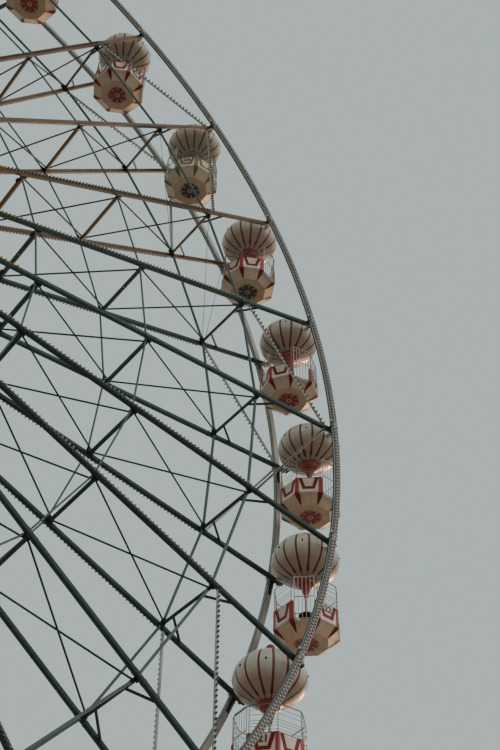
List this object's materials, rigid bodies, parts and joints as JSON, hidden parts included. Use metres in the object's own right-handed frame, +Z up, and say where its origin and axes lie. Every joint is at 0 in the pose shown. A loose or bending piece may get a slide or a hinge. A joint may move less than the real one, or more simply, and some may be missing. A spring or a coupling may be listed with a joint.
{
  "type": "ferris wheel",
  "caption": "Transportable giant wheel: two lattice faces on a hub between A-shaped towers, with open balloon gondolas hung between the rims.",
  "frame": {"origin": "on the ground, under the middle of the hub", "axes": "+Z up, +Y along the wheel's axle towards the rear tower, +X to the right seen from the front"},
  "size_m": [35.2925, 7.7, 39.1665],
  "materials": {
    "wheel_steel": "dark green-grey gloss paint, lightly weathered",
    "rim_paint": "warm grey satin paint",
    "gondola_fibreglass": "cream gel coat with dark red stripes",
    "tower_paint": "light satin paint"
  },
  "bodies": {
    "structure": {"front_bearing": "wheel_steel", "front_left_leg": "tower_paint", "front_right_leg": "tower_paint", "rear_bearing": "wheel_steel", "rear_left_leg": "tower_paint", "rear_right_leg": "tower_paint", "base_frame": "tower_paint"},
    "wheel": {"hub": "wheel_steel", "front_spokes_1": "wheel_steel", "front_spokes_2": "wheel_steel", "front_spokes_3": "wheel_steel", "front_spokes_4": "wheel_steel", "front_spokes_5": "wheel_steel", "front_spokes_6": "wheel_steel", "front_spokes_7": "wheel_steel", "front_spokes_8": "wheel_steel", "front_spokes_9": "wheel_steel", "rear_spokes_1": "wheel_steel", "rear_spokes_2": "wheel_steel", "rear_spokes_3": "wheel_steel", "rear_spokes_4": "wheel_steel", "rear_spokes_5": "wheel_steel", "rear_spokes_6": "wheel_steel", "rear_spokes_7": "wheel_steel", "rear_spokes_8": "wheel_steel", "rear_spokes_9": "wheel_steel", "front_rim_1": "rim_paint", "front_rim_2": "rim_paint", "front_rim_3": "rim_paint", "rear_rim_1": "rim_paint", "rear_rim_2": "rim_paint", "rear_rim_3": "rim_paint"},
    "gondola_01": {"gondola_01": "gondola_fibreglass"},
    "gondola_02": {"gondola_02": "gondola_fibreglass"},
    "gondola_03": {"gondola_03": "gondola_fibreglass"},
    "gondola_04": {"gondola_04": "gondola_fibreglass"},
    "gondola_05": {"gondola_05": "gondola_fibreglass"},
    "gondola_06": {"gondola_06": "gondola_fibreglass"},
    "gondola_07": {"gondola_07": "gondola_fibreglass"},
    "gondola_08": {"gondola_08": "gondola_fibreglass"},
    "gondola_09": {"gondola_09": "gondola_fibreglass"},
    "gondola_10": {"gondola_10": "gondola_fibreglass"},
    "gondola_11": {"gondola_11": "gondola_fibreglass"},
    "gondola_12": {"gondola_12": "gondola_fibreglass"},
    "gondola_13": {"gondola_13": "gondola_fibreglass"},
    "gondola_14": {"gondola_14": "gondola_fibreglass"},
    "gondola_15": {"gondola_15": "gondola_fibreglass"},
    "gondola_16": {"gondola_16": "gondola_fibreglass"},
    "gondola_17": {"gondola_17": "gondola_fibreglass"},
    "gondola_18": {"gondola_18": "gondola_fibreglass"},
    "gondola_19": {"gondola_19": "gondola_fibreglass"},
    "gondola_20": {"gondola_20": "gondola_fibreglass"},
    "gondola_21": {"gondola_21": "gondola_fibreglass"},
    "gondola_22": {"gondola_22": "gondola_fibreglass"},
    "gondola_23": {"gondola_23": "gondola_fibreglass"},
    "gondola_24": {"gondola_24": "gondola_fibreglass"},
    "gondola_25": {"gondola_25": "gondola_fibreglass"},
    "gondola_26": {"gondola_26": "gondola_fibreglass"},
    "gondola_27": {"gondola_27": "gondola_fibreglass"}
  },
  "joints": [
    {"name": "wheel_spin", "type": "hinge", "parent": "structure", "child": "wheel", "pos_m": [0, 0, 21.5], "axis": [0, 1, 0], "continuous": true},
    {"name": "gondola_01_swing", "type": "hinge", "parent": "wheel", "child": "gondola_01", "pos_m": [16.76498, 0, 22.58414], "axis": [0, 1, 0], "continuous": true},
    {"name": "gondola_02_swing", "type": "hinge", "parent": "wheel", "child": "gondola_02", "pos_m": [16.06306, 0, 26.42119], "axis": [0, 1, 0], "continuous": true},
    {"name": "gondola_03_swing", "type": "hinge", "parent": "wheel", "child": "gondola_03", "pos_m": [14.49517, 0, 29.99294], "axis": [0, 1, 0], "continuous": true},
    {"name": "gondola_04_swing", "type": "hinge", "parent": "wheel", "child": "gondola_04", "pos_m": [12.14585, 0, 33.10683], "axis": [0, 1, 0], "continuous": true},
    {"name": "gondola_05_swing", "type": "hinge", "parent": "wheel", "child": "gondola_05", "pos_m": [9.14174, 0, 35.59499], "axis": [0, 1, 0], "continuous": true},
    {"name": "gondola_06_swing", "type": "hinge", "parent": "wheel", "child": "gondola_06", "pos_m": [5.64479, 0, 37.32328], "axis": [0, 1, 0], "continuous": true},
    {"name": "gondola_07_swing", "type": "hinge", "parent": "wheel", "child": "gondola_07", "pos_m": [1.84354, 0, 38.19854], "axis": [0, 1, 0], "continuous": true},
    {"name": "gondola_08_swing", "type": "hinge", "parent": "wheel", "child": "gondola_08", "pos_m": [-2.05711, 0, 38.17358], "axis": [0, 1, 0], "continuous": true},
    {"name": "gondola_09_swing", "type": "hinge", "parent": "wheel", "child": "gondola_09", "pos_m": [-5.84685, 0, 37.24974], "axis": [0, 1, 0], "continuous": true},
    {"name": "gondola_10_swing", "type": "hinge", "parent": "wheel", "child": "gondola_10", "pos_m": [-9.32139, 0, 35.47683], "axis": [0, 1, 0], "continuous": true},
    {"name": "gondola_11_swing", "type": "hinge", "parent": "wheel", "child": "gondola_11", "pos_m": [-12.29341, 0, 32.95042], "axis": [0, 1, 0], "continuous": true},
    {"name": "gondola_12_swing", "type": "hinge", "parent": "wheel", "child": "gondola_12", "pos_m": [-14.60268, 0, 29.80672], "axis": [0, 1, 0], "continuous": true},
    {"name": "gondola_13_swing", "type": "hinge", "parent": "wheel", "child": "gondola_13", "pos_m": [-16.12473, 0, 26.2152], "axis": [0, 1, 0], "continuous": true},
    {"name": "gondola_14_swing", "type": "hinge", "parent": "wheel", "child": "gondola_14", "pos_m": [-16.77748, 0, 22.36948], "axis": [0, 1, 0], "continuous": true},
    {"name": "gondola_15_swing", "type": "hinge", "parent": "wheel", "child": "gondola_15", "pos_m": [-16.52576, 0, 18.47689], "axis": [0, 1, 0], "continuous": true},
    {"name": "gondola_16_swing", "type": "hinge", "parent": "wheel", "child": "gondola_16", "pos_m": [-15.38313, 0, 14.74728], "axis": [0, 1, 0], "continuous": true},
    {"name": "gondola_17_swing", "type": "hinge", "parent": "wheel", "child": "gondola_17", "pos_m": [-13.41119, 0, 11.3817], "axis": [0, 1, 0], "continuous": true},
    {"name": "gondola_18_swing", "type": "hinge", "parent": "wheel", "child": "gondola_18", "pos_m": [-10.71625, 0, 8.56161], "axis": [0, 1, 0], "continuous": true},
    {"name": "gondola_19_swing", "type": "hinge", "parent": "wheel", "child": "gondola_19", "pos_m": [-7.4436, 0, 6.43903], "axis": [0, 1, 0], "continuous": true},
    {"name": "gondola_20_swing", "type": "hinge", "parent": "wheel", "child": "gondola_20", "pos_m": [-3.76965, 0, 5.12839], "axis": [0, 1, 0], "continuous": true},
    {"name": "gondola_21_swing", "type": "hinge", "parent": "wheel", "child": "gondola_21", "pos_m": [0.10751, 0, 4.70034], "axis": [0, 1, 0], "continuous": true},
    {"name": "gondola_22_swing", "type": "hinge", "parent": "wheel", "child": "gondola_22", "pos_m": [3.97888, 0, 5.17797], "axis": [0, 1, 0], "continuous": true},
    {"name": "gondola_23_swing", "type": "hinge", "parent": "wheel", "child": "gondola_23", "pos_m": [7.63575, 0, 6.53553], "axis": [0, 1, 0], "continuous": true},
    {"name": "gondola_24_swing", "type": "hinge", "parent": "wheel", "child": "gondola_24", "pos_m": [10.88097, 0, 8.69982], "axis": [0, 1, 0], "continuous": true},
    {"name": "gondola_25_swing", "type": "hinge", "parent": "wheel", "child": "gondola_25", "pos_m": [13.5396, 0, 11.55418], "axis": [0, 1, 0], "continuous": true},
    {"name": "gondola_26_swing", "type": "hinge", "parent": "wheel", "child": "gondola_26", "pos_m": [15.4683, 0, 14.94472], "axis": [0, 1, 0], "continuous": true},
    {"name": "gondola_27_swing", "type": "hinge", "parent": "wheel", "child": "gondola_27", "pos_m": [16.5631, 0, 18.68865], "axis": [0, 1, 0], "continuous": true}
  ],
  "couplings": [
    {"joint": "gondola_01_swing", "follows": "wheel_spin", "ratio": -1},
    {"joint": "gondola_02_swing", "follows": "wheel_spin", "ratio": -1},
    {"joint": "gondola_03_swing", "follows": "wheel_spin", "ratio": -1},
    {"joint": "gondola_04_swing", "follows": "wheel_spin", "ratio": -1},
    {"joint": "gondola_05_swing", "follows": "wheel_spin", "ratio": -1},
    {"joint": "gondola_06_swing", "follows": "wheel_spin", "ratio": -1},
    {"joint": "gondola_07_swing", "follows": "wheel_spin", "ratio": -1},
    {"joint": "gondola_08_swing", "follows": "wheel_spin", "ratio": -1},
    {"joint": "gondola_09_swing", "follows": "wheel_spin", "ratio": -1},
    {"joint": "gondola_10_swing", "follows": "wheel_spin", "ratio": -1},
    {"joint": "gondola_11_swing", "follows": "wheel_spin", "ratio": -1},
    {"joint": "gondola_12_swing", "follows": "wheel_spin", "ratio": -1},
    {"joint": "gondola_13_swing", "follows": "wheel_spin", "ratio": -1},
    {"joint": "gondola_14_swing", "follows": "wheel_spin", "ratio": -1},
    {"joint": "gondola_15_swing", "follows": "wheel_spin", "ratio": -1},
    {"joint": "gondola_16_swing", "follows": "wheel_spin", "ratio": -1},
    {"joint": "gondola_17_swing", "follows": "wheel_spin", "ratio": -1},
    {"joint": "gondola_18_swing", "follows": "wheel_spin", "ratio": -1},
    {"joint": "gondola_19_swing", "follows": "wheel_spin", "ratio": -1},
    {"joint": "gondola_20_swing", "follows": "wheel_spin", "ratio": -1},
    {"joint": "gondola_21_swing", "follows": "wheel_spin", "ratio": -1},
    {"joint": "gondola_22_swing", "follows": "wheel_spin", "ratio": -1},
    {"joint": "gondola_23_swing", "follows": "wheel_spin", "ratio": -1},
    {"joint": "gondola_24_swing", "follows": "wheel_spin", "ratio": -1},
    {"joint": "gondola_25_swing", "follows": "wheel_spin", "ratio": -1},
    {"joint": "gondola_26_swing", "follows": "wheel_spin", "ratio": -1},
    {"joint": "gondola_27_swing", "follows": "wheel_spin", "ratio": -1}
  ]
}
